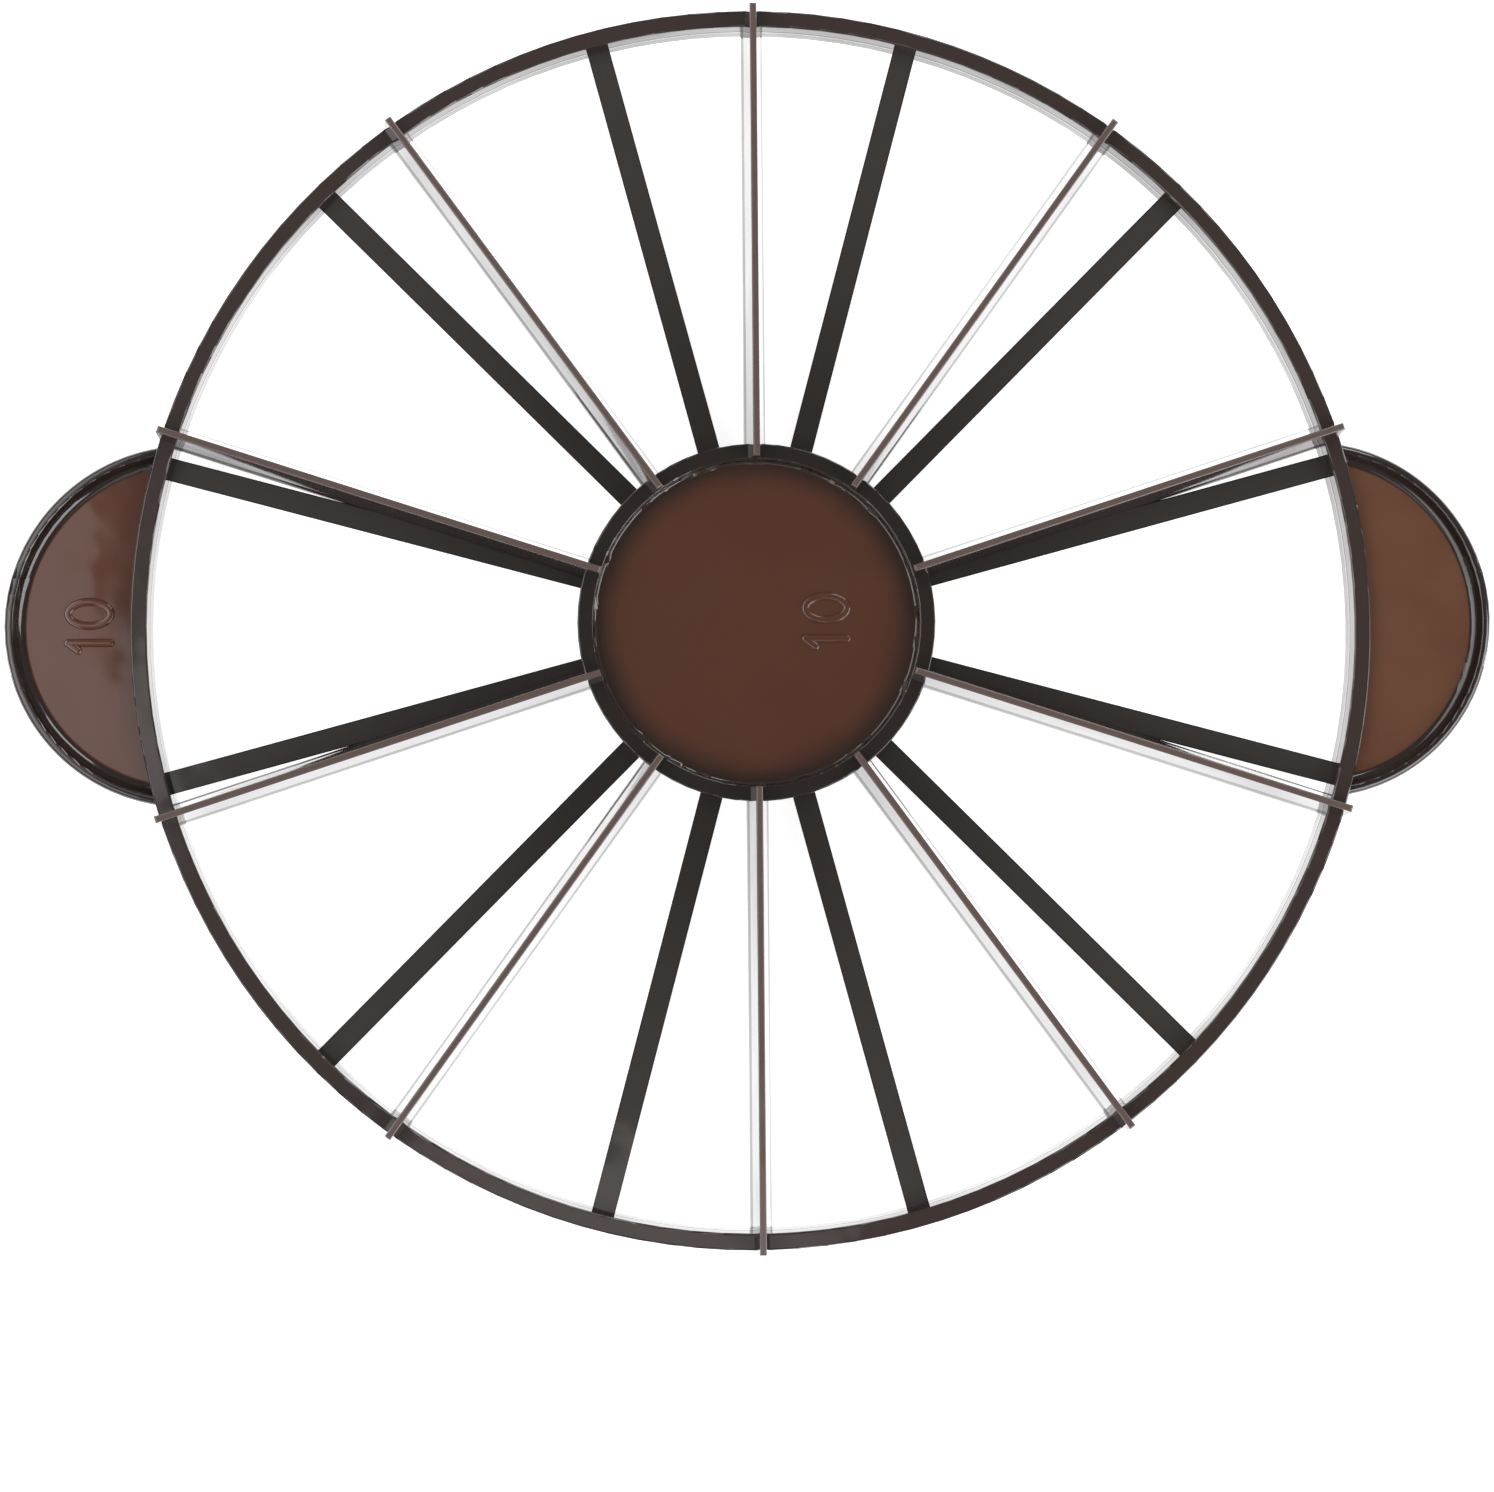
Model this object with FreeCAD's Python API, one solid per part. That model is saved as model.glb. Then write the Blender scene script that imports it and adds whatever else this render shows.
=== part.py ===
import FreeCAD, Part
import math
import os

# Cake portion marker, moulded in one piece: a ring and a hub joined by thin
# wedge fins. One side carries ten fins, the other side twelve.
# Millimetres. Z up, ten-fin side up, handles along X, lowest fin tips at z = 0.

# ring
ring_diameter = 270.0
ring_wall = 3.6
ring_height = 8.0
ring_edge_radius = 0.4
ring_inner_draft = 0.05

# hub
hub_outer_radius = 39.0
hub_wall = 3.45
hub_edge_radius = 0.35
hub_floor_fillet = 0.8
floor_thickness = 1.6

# fins
upper_fin_count = 10
upper_fin_start = 90.0
lower_fin_count = 12
lower_fin_start = 15.0
fin_rise = 6.1
fin_base_width = 5.0
fin_tip_width = 1.4
fin_skirt_width = 4.6
fin_skirt_height = 1.7
fin_knee_width = 3.72
fin_knee_height = 3.3
fin_knee_radius = 2.0
fin_base_edge_radius = 0.1
fin_tip_edge_radius = 0.3
fin_end_radius = 0.5

# handles
handle_centre_x = 123.0
handle_radius = 39.25
handle_height = 6.0
handle_outer_rounding = 1.4
handle_inner_rounding = 0.5
handle_rim_top = 1.95
handle_rim_foot = 3.35
handle_cove = 2.2
handle_overlap = 1.6

# raised numbers
number_height = 10.2
number_relief = 0.4
number_stroke = 1.1
hub_number_x = 15.3
handle_number_x = 144.3
number_one_offset = -3.6
hub_second_offset = 3.1
handle_second_offset = 2.7
zero_width = 6.3
two_width = 5.8
one_flag = 2.2

ring_radius = ring_diameter / 2.0
ring_inner = ring_radius - ring_wall
hub_inner = hub_outer_radius - hub_wall
half_ring = ring_height / 2.0
half_floor = floor_thickness / 2.0
half_handle = handle_height / 2.0
fin_tip = half_ring + fin_rise
fin_base = -half_floor
middle = fin_tip


def vec(x, y, z):
    return FreeCAD.Vector(x, y, z)


def rounded_wire(corners, place):
    """Closed outline through corners (x, y, radius); place turns x, y into a point."""
    count = len(corners)
    starts = []
    ends = []
    mids = []
    for i in range(count):
        x, y, r = corners[i]
        px, py, _ = corners[i - 1]
        nx, ny, _ = corners[(i + 1) % count]
        ax, ay = px - x, py - y
        bx, by = nx - x, ny - y
        la = math.hypot(ax, ay)
        lb = math.hypot(bx, by)
        ax, ay = ax / la, ay / la
        bx, by = bx / lb, by / lb
        if r <= 0.0:
            starts.append((x, y))
            ends.append((x, y))
            mids.append(None)
            continue
        half = math.acos(max(-1.0, min(1.0, ax * bx + ay * by))) / 2.0
        run = r / math.tan(half)
        reach = r / math.sin(half)
        hx, hy = ax + bx, ay + by
        lh = math.hypot(hx, hy)
        starts.append((x + ax * run, y + ay * run))
        ends.append((x + bx * run, y + by * run))
        mids.append((x + hx / lh * (reach - r), y + hy / lh * (reach - r)))
    edges = []
    for i in range(count):
        if mids[i] is not None:
            arc = Part.Arc(place(*starts[i]), place(*mids[i]), place(*ends[i]))
            edges.append(arc.toShape())
        a = place(*ends[i])
        b = place(*starts[(i + 1) % count])
        if (a - b).Length > 1e-6:
            edges.append(Part.makeLine(a, b))
    return Part.Wire(edges)


def revolved(corners, cx=0.0):
    """Full turn of an outline given in radius and height about the vertical at cx."""
    wire = rounded_wire(corners, lambda r, z: vec(cx + r, 0.0, z))
    face = Part.Face(wire)
    return face.revolve(vec(cx, 0, 0), vec(0, 0, 1), 360.0)


def ring():
    e = ring_edge_radius
    return revolved([
        (ring_radius, -half_ring, e),
        (ring_radius, half_ring, e),
        (ring_inner, half_ring, e),
        (ring_inner - ring_inner_draft, 0.0, 0.0),
        (ring_inner, -half_ring, e),
    ])


def hub():
    e = hub_edge_radius
    f = hub_floor_fillet
    return revolved([
        (0.0, -half_floor, 0.0),
        (hub_inner, -half_floor, f),
        (hub_inner, -half_ring, e),
        (hub_outer_radius, -half_ring, e),
        (hub_outer_radius, half_ring, e),
        (hub_inner, half_ring, e),
        (hub_inner, half_floor, f),
        (0.0, half_floor, 0.0),
    ])


def fin(angle):
    """Upward fin along one radius: flat base level with a floor, steep skirt, knee, steep flanks."""
    b = fin_base_width / 2.0
    s = fin_skirt_width / 2.0
    k = fin_knee_width / 2.0
    t = fin_tip_width / 2.0
    start = hub_inner - 1.0
    length = ring_radius - hub_inner + 2.0
    corners = [
        (-b, fin_base, fin_base_edge_radius),
        (b, fin_base, fin_base_edge_radius),
        (s, fin_base + fin_skirt_height, fin_knee_radius),
        (k, fin_base + fin_knee_height, fin_knee_radius),
        (t, fin_tip, fin_tip_edge_radius),
        (-t, fin_tip, fin_tip_edge_radius),
        (-k, fin_base + fin_knee_height, fin_knee_radius),
        (-s, fin_base + fin_skirt_height, fin_knee_radius),
    ]
    wire = rounded_wire(corners, lambda y, z: vec(start, y, z))
    bar = Part.Face(wire).extrude(vec(length, 0, 0))
    bar.rotate(vec(0, 0, 0), vec(0, 0, 1), angle)
    return bar


def fin_envelope():
    """Space between hub bore and ring wall that trims the fins flush."""
    return revolved([
        (hub_inner, fin_base - 1.0, 0.0),
        (ring_radius, fin_base - 1.0, 0.0),
        (ring_radius, fin_tip, fin_end_radius),
        (hub_inner, fin_tip, fin_end_radius),
    ])


def fins(count, first):
    envelope = fin_envelope()
    out = []
    for i in range(count):
        out.append(fin(first + 360.0 / count * i).common(envelope))
    return out


def upside_down(shape):
    """Half a turn about Y brings an upper feature to the underside."""
    turned = shape.copy()
    turned.rotate(vec(0, 0, 0), vec(0, 1, 0), 180.0)
    return turned


def handle():
    """Dished tab beyond the ring at +X, the same on both sides."""
    r = handle_radius
    top = r - handle_rim_top
    foot = r - handle_rim_foot
    tab = revolved([
        (0.0, -half_floor, 0.0),
        (foot, -half_floor, handle_cove),
        (top, -half_handle, handle_inner_rounding),
        (r, -half_handle, handle_outer_rounding),
        (r, half_handle, handle_outer_rounding),
        (top, half_handle, handle_inner_rounding),
        (foot, half_floor, handle_cove),
        (0.0, half_floor, 0.0),
    ], handle_centre_x)
    bore = ring_radius - handle_overlap
    inside = Part.makeCylinder(bore, 2.0 * ring_height, vec(0, 0, -ring_height))
    return tab.cut(inside)


def stroke(points):
    """Raised line of the number stroke width with round ends."""
    w = number_stroke / 2.0
    h = half_floor + number_relief
    pieces = []
    for (x0, y0), (x1, y1) in zip(points[:-1], points[1:]):
        length = math.hypot(x1 - x0, y1 - y0)
        bar = Part.makeBox(length, 2.0 * w, h, vec(0, -w, 0))
        bar.rotate(vec(0, 0, 0), vec(0, 0, 1), math.degrees(math.atan2(y1 - y0, x1 - x0)))
        bar.translate(vec(x0, y0, 0))
        pieces.append(bar)
    for x, y in points:
        pieces.append(Part.makeCylinder(w, h, vec(x, y, 0)))
    return pieces[0].multiFuse(pieces[1:]).removeSplitter()


def zero(x, y):
    """Figure 0 with its top toward -X: an oval outline."""
    a = number_height / 2.0
    b = zero_width / 2.0
    ovals = []
    for inset in (0.0, number_stroke):
        oval = Part.Ellipse(vec(x, y, 0), a - inset, b - inset)
        face = Part.Face(Part.Wire([oval.toShape()]))
        ovals.append(face.extrude(vec(0, 0, half_floor + number_relief)))
    return ovals[0].cut(ovals[1])


def one(x, y):
    """Figure 1 with its top toward -X: a stem and a short flag."""
    a = number_height / 2.0 - number_stroke / 2.0
    return stroke([(x - a + one_flag, y - one_flag * 0.75), (x - a, y), (x + a, y)])


def two(x, y):
    """Figure 2 with its top toward -X: a hook, a slant and a foot."""
    a = number_height / 2.0 - number_stroke / 2.0
    b = two_width / 2.0 - number_stroke / 2.0
    points = []
    for turn in range(-10, 171, 20):
        t = math.radians(turn)
        points.append((x - a + b - b * math.sin(t), y - b * math.cos(t)))
    points.append((x - a + b + 1.6, y + b * 0.72))
    points.append((x + a, y - b))
    points.append((x + a, y + b))
    return stroke(points)


def number(second, x, second_y):
    """Figures reading toward +Y, centred along X at x."""
    return [one(x, number_one_offset), second(x, second_y)]


def marker():
    body = ring()
    right = handle()
    pieces = [hub(), right, upside_down(right)]
    pieces += fins(upper_fin_count, upper_fin_start)
    pieces += [upside_down(f) for f in fins(lower_fin_count, lower_fin_start)]
    pieces += number(zero, hub_number_x, hub_second_offset)
    pieces += number(zero, -handle_number_x, handle_second_offset)
    below = number(two, hub_number_x, hub_second_offset)
    below += number(two, -handle_number_x, handle_second_offset)
    pieces += [upside_down(shape) for shape in below]
    body = body.multiFuse(pieces)
    body = body.removeSplitter()
    body.translate(vec(0, 0, middle))
    return body


os.makedirs("parts", exist_ok=True)
solid = marker()
if solid.ShapeType != "Solid":
    solid = solid.Solids[0]
solid.exportStep("parts/cake_marker.step")
print("solid", solid.isValid(), "faces", len(solid.Faces), "volume", round(solid.Volume, 1))
box = solid.BoundBox
print("height", round(box.ZLength, 2), "base", round(box.ZMin, 3))
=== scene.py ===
import bmesh
import bpy
import math
import numpy as np
from mathutils import Matrix, Vector


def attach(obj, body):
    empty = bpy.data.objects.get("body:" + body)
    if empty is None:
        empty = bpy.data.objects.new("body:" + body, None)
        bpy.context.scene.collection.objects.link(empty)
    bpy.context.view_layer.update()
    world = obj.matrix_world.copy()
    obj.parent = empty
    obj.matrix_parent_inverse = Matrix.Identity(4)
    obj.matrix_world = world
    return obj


# A brown plastic cake portion marker on a white table, seen from above.
# Dictionaries hold millimetres and sRGB hex colours; the scene is in metres.

mm = 0.001

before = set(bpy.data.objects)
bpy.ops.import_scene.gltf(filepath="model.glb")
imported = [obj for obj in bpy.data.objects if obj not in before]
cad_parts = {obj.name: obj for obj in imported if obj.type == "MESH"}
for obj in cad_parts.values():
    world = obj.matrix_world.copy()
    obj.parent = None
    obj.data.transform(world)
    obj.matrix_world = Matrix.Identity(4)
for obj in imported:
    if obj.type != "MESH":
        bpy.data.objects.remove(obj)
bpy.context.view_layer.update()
print("frame loaded")


# sRGB hex to linear: c / 12.92 below 0.04045, else ((c + 0.055) / 1.055) to the power 2.4
def toLinear(hexColour):
    c = np.array([int(hexColour[i:i + 2], 16) for i in (1, 3, 5)]) / 255.0
    lin = np.where(c <= 0.04045, c / 12.92, ((c + 0.055) / 1.055) ** 2.4)
    return (*lin.tolist(), 1.0)


# A node with its settings; an input is linked where it is given a socket, and set otherwise
def addNode(tree, kind, settings, inputs):
    node = tree.nodes.new(kind)
    for name, value in settings.items():
        setattr(node, name, value)
    for name, value in inputs.items():
        if isinstance(value, bpy.types.NodeSocket):
            tree.links.new(value, node.inputs[name])
        else:
            node.inputs[name].default_value = value
    return node


def newMaterial(name):
    material = bpy.data.materials.new(name)
    material.use_nodes = True
    material.node_tree.nodes.clear()
    return material


# Injection-moulded polypropylene tinted dark brown, from a polished mould: a hard gloss with
# faint long waves. Thick walls swallow the light and look almost black. The table's light through
# the 1.6 mm floors and the thin fin tips is painted into their colour, redder and lighter, with
# painted shade where the walls stand by the floors. The ring wall and the fins' flat backs get
# painted light and sheen as lighter colours, and the backs painted shade at their edges.
plastic = {
    "hubWall": "#28211d",
    # painted light: the ring wall lighter than the hub wall for the table's light through it
    "paintedLightRingWall": "#3b2f2c",
    "paintedWallLightFade": (42.0, 105.0),        # painted light: hub wall colour to the lighter ring wall colour, by radius
    # painted light: the floors' lighter, redder brown for the table's light through them
    "paintedLightHubFloor": "#573526",
    "floorShadeByHubWall": (37.5, 28.0),     # painted shade: radius where the floor is dark by the hub wall, then fully brown
    # painted light: the tab floors lit through from below, the right one more
    "paintedLightLeftTabFloor": "#5f3523",
    "paintedLightRightTabFloor": "#6a4632",
    "tabRim": "#271d1a",
    "tabStart": (134.2, 135.0),
    "tabCentre": 123.0,
    "floorShadeByTabRim": (35.2, 34.6),     # painted shade: dark by the rim, then brown, from the middle of a tab
    "sideLightFade": (-1.0, 1.0),          # painted light: left tab colour to the lighter right tab colour, along X
    "floorLevels": (9.0, 11.4),       # both faces of a floor and the figures on them
    "levelFade": 0.1,                 # the colour changes over this height
    "mottle": "#562d22",              # redder clouds in the floors
    "mottleLength": 26.0,
    "mottleDetail": 3.0,
    "mottleRoughness": 0.5,
    "mottleFade": (0.35, 0.65),       # noise values where a cloud begins and is full
    "mottleShare": 0.4,
    "paintedSheenInnerBack": "#2f2926",           # painted sheen: the fins' broad flat backs, at the hub and lighter at the ring
    "paintedSheenOuterBack": "#3b3633",
    # painted shade: the backs darker along their edges
    "paintedShadeBackEdge": "#1f1815",
    "backStart": (38.8, 39.2),
    "backEnd": (131.6, 131.2),
    "edgeShadeFade": (2.1, 2.4),       # painted shade: face to darker edge, by distance from the middle of the fin
    "finSteps": (18.0, 15.0),         # half the angle between fins below and above the middle
    "middle": 10.1,
    # painted light: the thin fin tips lighter for the light through them and on their roundings
    "paintedLightFinTip": "#65544f",
    "tipLevel": (19.4, 20.1),
    "ior": 1.49,
    "roughness": 0.12,
    "coat": 1.0,
    "coatRoughness": 0.06,
    "waveLength": 20.0,
    "waveDetail": 2.0,
    "waveRoughness": 0.4,
    "waveHeight": 0.3,
    "partingWidth": (0.6, 0.2),       # the line where the two mould halves met, drawn wide to show
    "partingHeight": 0.06,
}


# Colour = wall colour by radius, lighter outward with painted light; then on the floor levels
# the fins' flat backs with painted sheen and darker edges of painted shade; then the tab rims
# beyond the ring, the hub floor and the tab floors with painted light through them, painted shade
# by the walls and redder clouds; then tip brown of painted light above the tip level
def mouldedPolypropylene():
    p = plastic
    material = newMaterial("mouldedPolypropylene")
    tree = material.node_tree
    where = addNode(tree, "ShaderNodeTexCoord", {}, {}).outputs["Object"]
    x, y, z = addNode(tree, "ShaderNodeSeparateXYZ", {}, {0: where}).outputs
    inputs = {0: where, 1: (1.0, 1.0, 0.0)}
    flat = addNode(tree, "ShaderNodeVectorMath", {"operation": "MULTIPLY"}, inputs).outputs[0]
    radius = addNode(tree, "ShaderNodeVectorMath", {"operation": "LENGTH"}, {0: flat}).outputs["Value"]
    half = addNode(tree, "ShaderNodeVectorMath", {"operation": "ABSOLUTE"}, {0: flat}).outputs[0]
    inputs = {0: half, 1: (p["tabCentre"] * mm, 0.0, 0.0)}
    fromTab = addNode(tree, "ShaderNodeVectorMath", {"operation": "DISTANCE"}, inputs).outputs["Value"]

    # distance from a fin's middle line = radius times sine of the angle to the nearest fin
    below, above = [math.radians(v) for v in p["finSteps"]]
    middle, fade = p["middle"] * mm, p["levelFade"] * mm
    inputs = {
        "Value": z, "From Min": middle - fade, "From Max": middle + fade,
        "To Min": below, "To Max": above,
    }
    step = addNode(tree, "ShaderNodeMapRange", {}, inputs).outputs[0]
    minus = addNode(tree, "ShaderNodeMath", {"operation": "MULTIPLY"}, {0: step, 1: -1.0}).outputs[0]
    angle = addNode(tree, "ShaderNodeMath", {"operation": "ARCTAN2"}, {0: y, 1: x}).outputs[0]
    angle = addNode(tree, "ShaderNodeMath", {"operation": "SUBTRACT"}, {0: angle, 1: step}).outputs[0]
    inputs = {0: angle, 1: step, 2: minus}
    angle = addNode(tree, "ShaderNodeMath", {"operation": "WRAP"}, inputs).outputs[0]
    sine = addNode(tree, "ShaderNodeMath", {"operation": "SINE"}, {0: angle}).outputs[0]
    across = addNode(tree, "ShaderNodeMath", {"operation": "MULTIPLY"}, {0: sine, 1: radius}).outputs[0]
    across = addNode(tree, "ShaderNodeMath", {"operation": "ABSOLUTE"}, {0: across}).outputs[0]
    gap = addNode(tree, "ShaderNodeMath", {"operation": "SUBTRACT"}, {0: z, 1: middle}).outputs[0]
    gap = addNode(tree, "ShaderNodeMath", {"operation": "ABSOLUTE"}, {0: gap}).outputs[0]

    # each mask rises smoothly from 0 to 1 between two distances
    low, high = p["floorLevels"]
    ramps = (
        ("wall", radius, p["paintedWallLightFade"]),
        ("hub", radius, p["floorShadeByHubWall"]),
        ("ringEnd", radius, p["tabStart"]),
        ("tab", fromTab, p["floorShadeByTabRim"]),
        ("right", x, p["sideLightFade"]),
        ("floor", z, (low, low + p["levelFade"])),
        ("floorEnd", z, (high + p["levelFade"], high)),
        ("back", radius, p["backStart"]),
        ("backEnd", radius, p["backEnd"]),
        ("edge", across, p["edgeShadeFade"]),
        ("tip", z, p["tipLevel"]),
        ("parting", gap, p["partingWidth"]),
    )
    mask = {}
    smooth = {"interpolation_type": "SMOOTHSTEP"}
    for name, source, (start, end) in ramps:
        inputs = {"Value": source, "From Min": start * mm, "From Max": end * mm}
        mask[name] = addNode(tree, "ShaderNodeMapRange", smooth, inputs).outputs[0]

    inputs = {
        "Vector": where, "Scale": 1.0 / (p["mottleLength"] * mm), "Detail": p["mottleDetail"],
        "Roughness": p["mottleRoughness"],
    }
    cloud = addNode(tree, "ShaderNodeTexNoise", {}, inputs).outputs[0]
    start, end = p["mottleFade"]
    inputs = {
        "Value": cloud, "From Min": start, "From Max": end, "To Min": 0.0, "To Max": p["mottleShare"],
    }
    mask["cloud"] = addNode(tree, "ShaderNodeMapRange", {}, inputs).outputs[0]

    # each row multiplies its first mask by its second and names the product
    for name, one, other in (
        ("floor", "floor", "floorEnd"),
        ("hub", "hub", "floor"),
        ("tab", "tab", "ringEnd"),
        ("tab", "tab", "floor"),
        ("rightTab", "tab", "right"),
        ("back", "back", "backEnd"),
        ("back", "back", "floor"),
        ("paintedSheenOuterBack", "back", "wall"),
        ("paintedShadeBackEdge", "back", "edge"),
        ("hubCloud", "hub", "cloud"),
        ("tabCloud", "tab", "cloud"),
    ):
        inputs = {0: mask[one], 1: mask[other]}
        mask[name] = addNode(tree, "ShaderNodeMath", {"operation": "MULTIPLY"}, inputs).outputs[0]

    # the wall, back, edge, floor and tip layers paint light, sheen and shade into the colour; the tab
    # rims and the redder clouds are the plastic's own
    colour = toLinear(p["hubWall"])
    for name, layer in (
        ("wall", "paintedLightRingWall"),
        ("back", "paintedSheenInnerBack"),
        ("paintedSheenOuterBack", "paintedSheenOuterBack"),
        ("paintedShadeBackEdge", "paintedShadeBackEdge"),
        ("ringEnd", "tabRim"),
        ("hub", "paintedLightHubFloor"),
        ("tab", "paintedLightLeftTabFloor"),
        ("rightTab", "paintedLightRightTabFloor"),
        ("hubCloud", "mottle"),
        ("tabCloud", "mottle"),
        ("tip", "paintedLightFinTip"),
    ):
        inputs = {0: mask[name], 6: colour, 7: toLinear(p[layer])}
        colour = addNode(tree, "ShaderNodeMix", {"data_type": "RGBA"}, inputs).outputs[2]

    # height = long waves + a fine ridge at the parting line
    inputs = {
        "Vector": where, "Scale": 1.0 / (p["waveLength"] * mm), "Detail": p["waveDetail"],
        "Roughness": p["waveRoughness"],
    }
    wave = addNode(tree, "ShaderNodeTexNoise", {}, inputs).outputs[0]
    inputs = {0: mask["parting"], 1: p["partingHeight"] / p["waveHeight"], 2: wave}
    height = addNode(tree, "ShaderNodeMath", {"operation": "MULTIPLY_ADD"}, inputs).outputs[0]
    inputs = {"Strength": 1.0, "Distance": p["waveHeight"] * mm, "Height": height}
    bump = addNode(tree, "ShaderNodeBump", {}, inputs).outputs[0]
    inputs = {
        "Base Color": colour, "Roughness": p["roughness"], "IOR": p["ior"], "Normal": bump,
        "Coat Weight": p["coat"], "Coat Roughness": p["coatRoughness"], "Coat IOR": p["ior"],
        "Coat Normal": bump,
    }
    shader = addNode(tree, "ShaderNodeBsdfPrincipled", {}, inputs)
    addNode(tree, "ShaderNodeOutputMaterial", {}, {"Surface": shader.outputs[0]})
    return material


brownPlastic = mouldedPolypropylene()

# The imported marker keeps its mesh. Its loose triangles are joined, split at the sharp edges and
# given normals weighed by area, so that flat faces reflect flat and roundings round.
finish = {
    "join": 0.002,
    "sharp": 30.0,                    # degrees
    "weight": 90,
}

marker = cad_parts["cake_marker"]
marker.data.materials[0] = brownPlastic
join = marker.modifiers.new("join", "WELD")
join.merge_threshold = finish["join"] * mm
split = marker.modifiers.new("split", "EDGE_SPLIT")
split.split_angle = math.radians(finish["sharp"])
weigh = marker.modifiers.new("weigh", "WEIGHTED_NORMAL")
weigh.weight = finish["weight"]
weigh.mode = "FACE_AREA_WITH_ANGLE"
weigh.keep_sharp = True
print("marker")


# Raised figures, 10 above and 12 below, on the hub and one tab, read toward +Y, tops toward -X
figures = {
    "height": 10.2,
    "stroke": 1.1,
    "halfWidth": 0.9,                 # at the foot of the rounded section
    "relief": 0.47,
    "sink": 0.1,                      # how far the foot runs into the floor
    "floors": (9.3, 10.9),            # levels of the floors' lower and upper faces
    "zeroWidth": 6.3,
    "twoWidth": 5.8,
    "flag": (2.2, 1.65),              # how far the flag of 1 runs down and across
    "hook": (-10.0, 170.0),           # angles of the arc of 2
    "slant": (1.6, 0.72),             # run down below the arc's middle, share of half its width
    "spacing": 0.15,                  # between points along a line
    "ovalPoints": 160,
    "hookPoints": 40,
    "endPoints": 9,
    "sectionPoints": 17,
    "weld": 0.001,
    "dissolve": 0.0005,
    # first figure's x and y, then second figure's y
    "hub": (15.3, -3.6, 3.1),
    "tab": (-144.3, -3.6, 2.7),
}


# Polyline through the corners with points at the spacing
def along(corners):
    corners = np.array(corners, float)
    run = np.r_[0.0, np.cumsum(np.hypot(*np.diff(corners, axis=0).T))]
    s = np.linspace(0.0, run[-1], int(run[-1] / figures["spacing"]) + 2)
    return np.c_[np.interp(s, run, corners[:, 0]), np.interp(s, run, corners[:, 1])]


# Closed strip along a path: at u across it, -1 to 1, height = relief * (1 - u^4); an open
# path runs on past both ends by the half width w, narrowing as sqrt(1 - e^2) with e = run / w
def strokeMesh(path, isLoop):
    f = figures
    w = f["halfWidth"]
    if isLoop:
        e = np.zeros(len(path))
        tangent = np.roll(path, -1, axis=0) - np.roll(path, 1, axis=0)
    else:
        run = np.sin(np.linspace(0.0, math.pi / 2, f["endPoints"]))[1:] * w
        first, last = path[0] - path[1], path[-1] - path[-2]
        first, last = first / np.hypot(*first), last / np.hypot(*last)
        path = np.r_[path[0] + run[::-1, None] * first, path, path[-1] + run[:, None] * last]
        e = np.r_[run[::-1] / w, np.zeros(len(path) - 2 * len(run)), run / w]
        tangent = np.gradient(path, axis=0)
    tangent = tangent / np.hypot(*tangent.T)[:, None]
    normal = np.c_[-tangent[:, 1], tangent[:, 0]]
    u = np.linspace(1.0, -1.0, f["sectionPoints"])
    z = np.r_[f["relief"] * (1.0 - u ** 4), -f["sink"], -f["sink"]]
    u = np.r_[u, -1.0, 1.0]
    half = w * np.sqrt(np.clip(1.0 - e ** 2, 0.0, 1.0))
    flat = path[:, None, :] + normal[:, None, :] * (u[None, :, None] * half[:, None, None])
    height = np.where(z > 0.0, z * (1.0 - e[:, None] ** 4), z)
    points = np.concatenate([flat, height[:, :, None]], axis=2)
    rows, cols = height.shape
    i = np.arange(rows if isLoop else rows - 1)[:, None]
    j = np.arange(cols)[None, :]
    a, b, k = i * cols, (i + 1) % rows * cols, (j + 1) % cols
    return points.reshape(-1, 3), np.stack([a + j, b + j, b + k, a + k], axis=2).reshape(-1, 4)


# Figure 0 is an ellipse, 1 a flag and a stem, 2 a half circle, a slant and a foot
def figurePaths(figure, x, y):
    f = figures
    a = (f["height"] - f["stroke"]) / 2
    if figure == 0:
        b = (f["zeroWidth"] - f["stroke"]) / 2
        t = np.linspace(0.0, 2 * math.pi, f["ovalPoints"], endpoint=False)
        return [(np.c_[x + a * np.cos(t), y + b * np.sin(t)], True)]
    if figure == 1:
        down, across = f["flag"]
        flag = along([(x - a + down, y - across), (x - a, y)])
        return [(flag, False), (along([(x - a, y), (x + a, y)]), False)]
    b = (f["twoWidth"] - f["stroke"]) / 2
    t = np.radians(np.linspace(*f["hook"], f["hookPoints"]))
    hook = np.c_[x - a + b - b * np.sin(t), y - b * np.cos(t)]
    down, share = f["slant"]
    slant = [hook[-1], (x - a + b + down, y + b * share), (x + a, y - b)]
    return [(hook, False), (along(slant), False), (along([(x + a, y - b), (x + a, y + b)]), False)]


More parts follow.
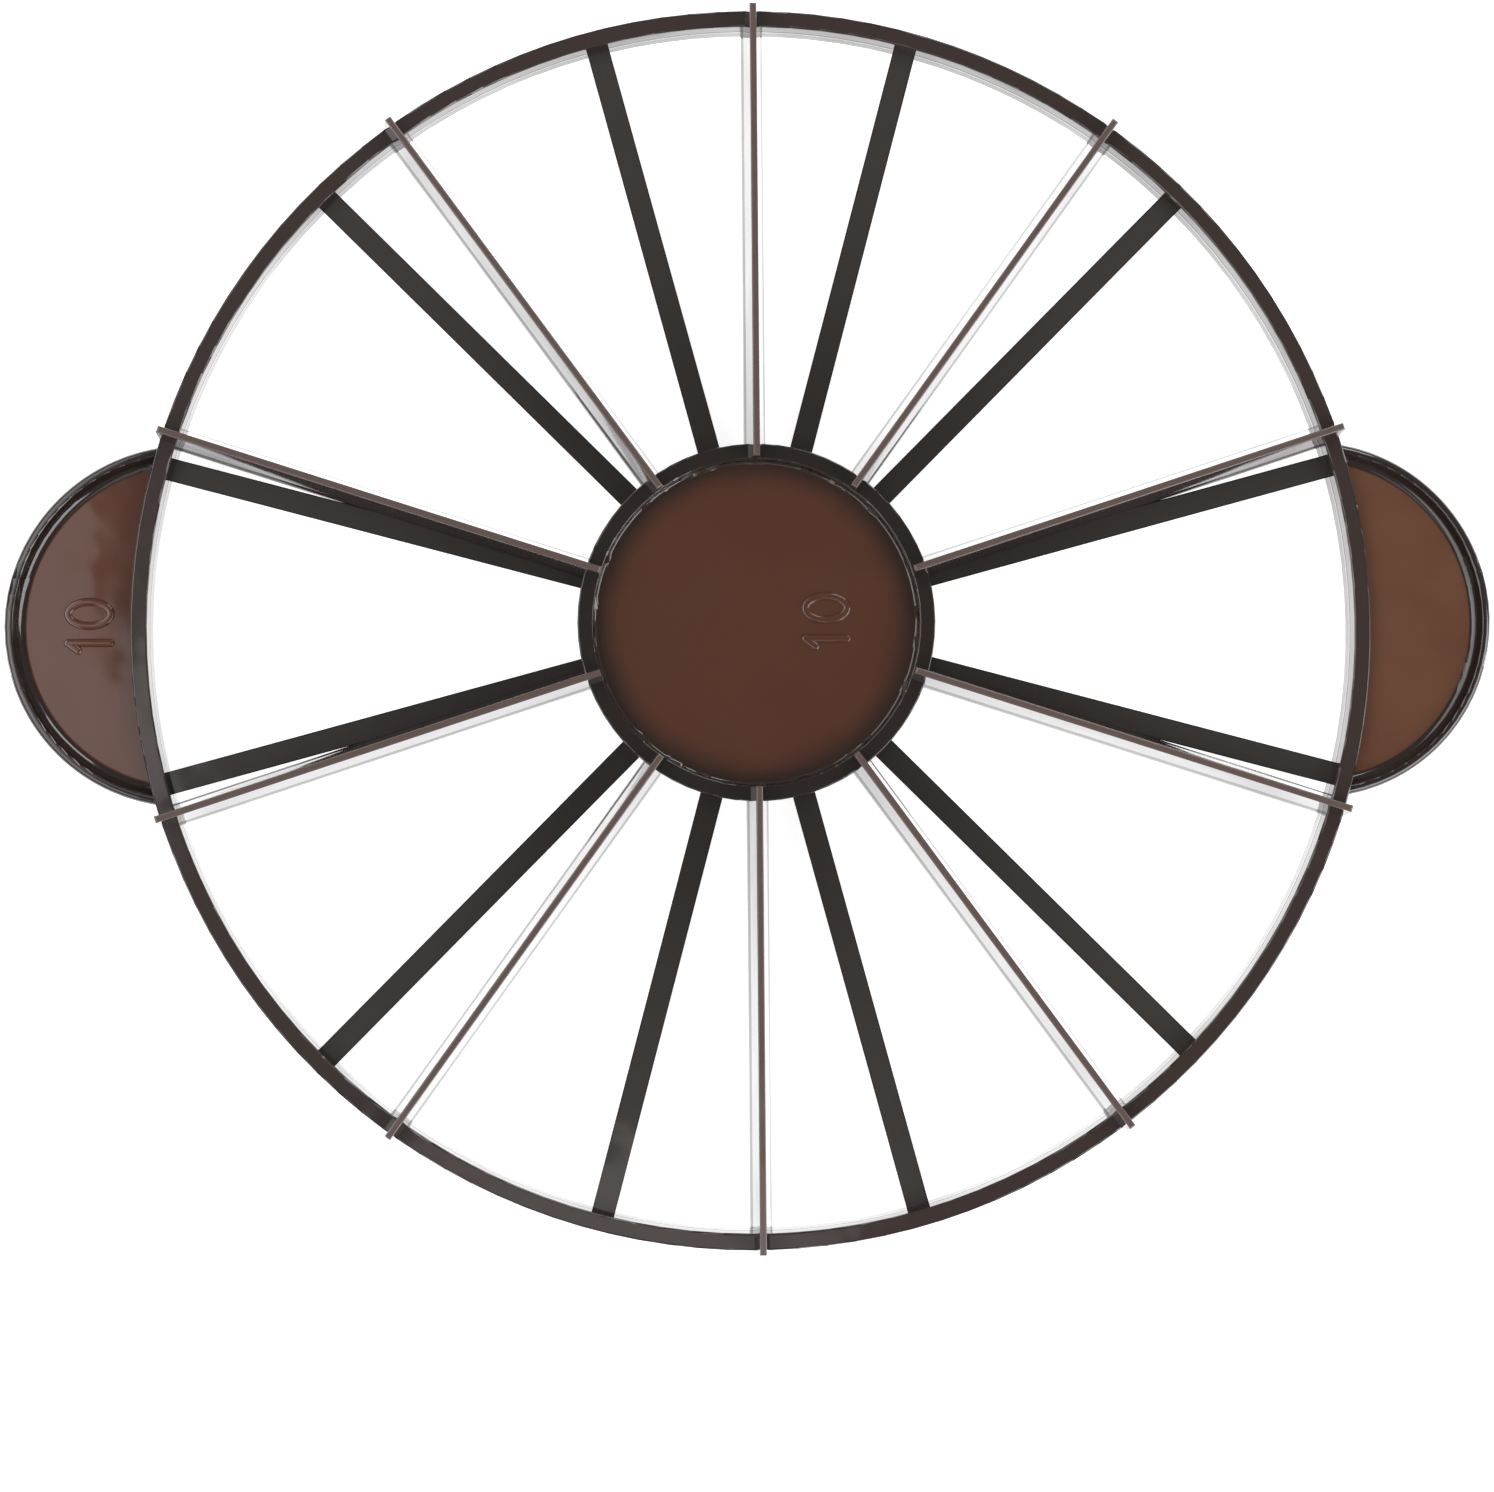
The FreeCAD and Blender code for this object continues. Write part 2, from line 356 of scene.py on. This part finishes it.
# Half a turn about Y through the middle takes the lower figures to the underside
def addFigures():
    low, high = figures["floors"]
    middle, half = (low + high) / 2, (high - low) / 2
    points, quads, count = [], [], 0
    for second, turn in ((0, (1.0, 1.0, 1.0)), (2, (-1.0, 1.0, -1.0))):
        for x, firstY, secondY in (figures["hub"], figures["tab"]):
            for path, isLoop in figurePaths(1, x, firstY) + figurePaths(second, x, secondY):
                stroke, faces = strokeMesh(path, isLoop)
                points.append((stroke + (0.0, 0.0, half)) * turn + (0.0, 0.0, middle))
                quads.append(faces + count)
                count += len(stroke)
    mesh = bpy.data.meshes.new("figures")
    mesh.from_pydata((np.concatenate(points) * mm).tolist(), [], np.concatenate(quads).tolist())
    shell = bmesh.new()
    shell.from_mesh(mesh)
    bmesh.ops.remove_doubles(shell, verts=shell.verts, dist=figures["weld"] * mm)
    bmesh.ops.dissolve_degenerate(shell, edges=shell.edges, dist=figures["dissolve"] * mm)
    bmesh.ops.recalc_face_normals(shell, faces=shell.faces)
    shell.to_mesh(mesh)
    shell.free()
    mesh.shade_smooth()
    mesh.materials.append(brownPlastic)
    item = bpy.data.objects.new("figures", mesh)
    bpy.context.scene.collection.objects.link(item)
    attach(item, "root")
    print("figures", len(mesh.polygons), "faces")


addFigures()


# Straight above the hub, a little to the left and front, as the photograph was taken
camera = {
    "place": (-24.3, -33.0, 562.6),
    "back": (-0.0434, -0.0591, 0.9973),
    "up": (0.0084, 1.0, 0.0),
    "lens": 60.99,
    "sensor": 36.0,
    "shift": (-0.00535, -0.0817),
    "clip": (0.01, 20.0),             # metres
}


def addCamera():
    data = bpy.data.cameras.new("camera")
    data.lens = camera["lens"]
    data.sensor_width = camera["sensor"]
    data.shift_x, data.shift_y = camera["shift"]
    data.clip_start, data.clip_end = camera["clip"]
    back = Vector(camera["back"]).normalized()
    right = Vector(camera["up"]).cross(back).normalized()
    turn = Matrix((right, back.cross(right), back)).transposed().to_4x4()
    item = bpy.data.objects.new("camera", data)
    item.matrix_world = Matrix.Translation(Vector(camera["place"]) * mm) @ turn
    bpy.context.scene.collection.objects.link(item)
    bpy.context.scene.camera = item


addCamera()
print("camera")


# White laminate, matt, so wide that its edge is never seen
table = {
    "colour": "#e8e8e8",
    "halfSide": 3000.0,
    "drop": 0.2,
    "cameraGlow": 0.85,               # white without losing the shadow under the marker
}


# Surface = lit colour + glow, where glow is cameraGlow for the camera and 1 for gloss and glass
def addTable():
    s, z = table["halfSide"] * mm, -table["drop"] * mm
    mesh = bpy.data.meshes.new("table")
    mesh.from_pydata([(-s, -s, z), (s, -s, z), (s, s, z), (-s, s, z)], [], [(0, 1, 2, 3)])
    item = bpy.data.objects.new("table", mesh)
    bpy.context.scene.collection.objects.link(item)
    material = newMaterial("whiteLaminate")
    tree = material.node_tree
    path = addNode(tree, "ShaderNodeLightPath", {}, {}).outputs
    inputs = {0: path["Is Glossy Ray"], 1: path["Is Transmission Ray"]}
    seen = addNode(tree, "ShaderNodeMath", {"operation": "MAXIMUM"}, inputs).outputs[0]
    inputs = {0: path["Is Camera Ray"], 1: table["cameraGlow"], 2: seen}
    seen = addNode(tree, "ShaderNodeMath", {"operation": "MULTIPLY_ADD"}, inputs).outputs[0]
    glow = addNode(tree, "ShaderNodeEmission", {}, {"Strength": seen}).outputs[0]
    lit = addNode(tree, "ShaderNodeBsdfDiffuse", {}, {"Color": toLinear(table["colour"])}).outputs[0]
    both = addNode(tree, "ShaderNodeAddShader", {}, {0: glow, 1: lit}).outputs[0]
    addNode(tree, "ShaderNodeOutputMaterial", {}, {"Surface": both})
    mesh.materials.append(material)


# A plain grey room with a broad window on the left, dark overhead where the camera hangs, and
# soft panels round it. The camera sees plain white behind the table, and so does gloss down
# near the horizon.
# A panel is placed by its centre; those at the level height hang level, and the lower ones
# face the marker.
studio = {
    "dark": 0.128,
    "round": 0.2,
    "darkCentre": (0.155, 0.042, 0.987),
    "darkFade": (0.985, 0.94),        # cosines from the dark centre
    "left": 1.6,                      # what the window in the left wall adds
    "leftSide": (-0.3, -0.42),        # where it begins and is full, along X
    "leftHeight": (0.38, 0.5),        # and upwards
    "horizon": (0.1, 0.02),           # upward part of a direction where the white begins and is full
    "levelHeight": 1400,
    "panels": (
        # name, centre, width and height, turn in degrees, radiance: 1 is white
        ("leftVeil", (-875, 91, 1400), (860, 640), 21, 0.75),
        ("frontVeil", (-50, -735, 1400), (370, 860), 0, 0.5),
        ("rightPanel", (1020, -560, 700), (1500, 760), 0, 3.4),
        ("farRightPanel", (450, 830, 750), (500, 450), 0, 3.5),
    ),
}


# Strength by the cosine between the direction and the dark centre, plus the window's strength
# times its fades along X and upwards; then 1 for the camera and for gloss and glass near the
# horizon
def addWorld():
    world = bpy.data.worlds.new("studio")
    bpy.context.scene.world = world
    world.use_nodes = True
    tree = world.node_tree
    tree.nodes.clear()
    where = addNode(tree, "ShaderNodeTexCoord", {}, {}).outputs["Generated"]
    inputs = {0: where, 1: studio["darkCentre"]}
    cosine = addNode(tree, "ShaderNodeVectorMath", {"operation": "DOT_PRODUCT"}, inputs)
    cosine = cosine.outputs["Value"]
    axes = addNode(tree, "ShaderNodeSeparateXYZ", {}, {0: where}).outputs
    parts = []
    for source, (start, end), (first, last) in (
        (cosine, studio["darkFade"], (studio["dark"], studio["round"])),
        (axes["X"], studio["leftSide"], (0.0, studio["left"])),
        (axes["Z"], studio["leftHeight"], (0.0, 1.0)),
        (axes["Z"], studio["horizon"], (0.0, 1.0)),
    ):
        inputs = {"Value": source, "From Min": start, "From Max": end, "To Min": first, "To Max": last}
        part = addNode(tree, "ShaderNodeMapRange", {"interpolation_type": "SMOOTHSTEP"}, inputs)
        parts.append(part.outputs[0])
    inputs = {0: parts[1], 1: parts[2], 2: parts[0]}
    strength = addNode(tree, "ShaderNodeMath", {"operation": "MULTIPLY_ADD"}, inputs).outputs[0]
    path = addNode(tree, "ShaderNodeLightPath", {}, {}).outputs
    inputs = {0: path["Is Glossy Ray"], 1: path["Is Transmission Ray"]}
    seen = addNode(tree, "ShaderNodeMath", {"operation": "MAXIMUM"}, inputs).outputs[0]
    seen = addNode(tree, "ShaderNodeMath", {"operation": "MULTIPLY"}, {0: seen, 1: parts[3]}).outputs[0]
    inputs = {0: path["Is Camera Ray"], 1: seen}
    seen = addNode(tree, "ShaderNodeMath", {"operation": "MAXIMUM"}, inputs).outputs[0]
    inputs = {0: seen, 2: strength, 3: 1.0}
    strength = addNode(tree, "ShaderNodeMix", {"data_type": "FLOAT"}, inputs).outputs[0]
    inputs = {"Color": (1.0, 1.0, 1.0, 1.0), "Strength": strength}
    back = addNode(tree, "ShaderNodeBackground", {}, inputs).outputs[0]
    addNode(tree, "ShaderNodeOutputWorld", {}, {"Surface": back})


# An area lamp's watts are radiance times pi times area
def addPanel(name, centre, size, turn, radiance):
    data = bpy.data.lights.new(name, "AREA")
    data.shape = "RECTANGLE"
    data.size, data.size_y = size[0] * mm, size[1] * mm
    data.energy = radiance * math.pi * data.size * data.size_y
    item = bpy.data.objects.new(name, data)
    item.location = Vector(centre) * mm
    item.rotation_euler = (0.0, 0.0, math.radians(turn))
    if centre[2] < studio["levelHeight"]:
        item.rotation_euler = (-item.location).to_track_quat("-Z", "Y").to_euler()
    bpy.context.scene.collection.objects.link(item)


addTable()
addWorld()
for panel in studio["panels"]:
    addPanel(*panel)
print("table and light")

bpy.context.scene.view_settings.view_transform = "Standard"
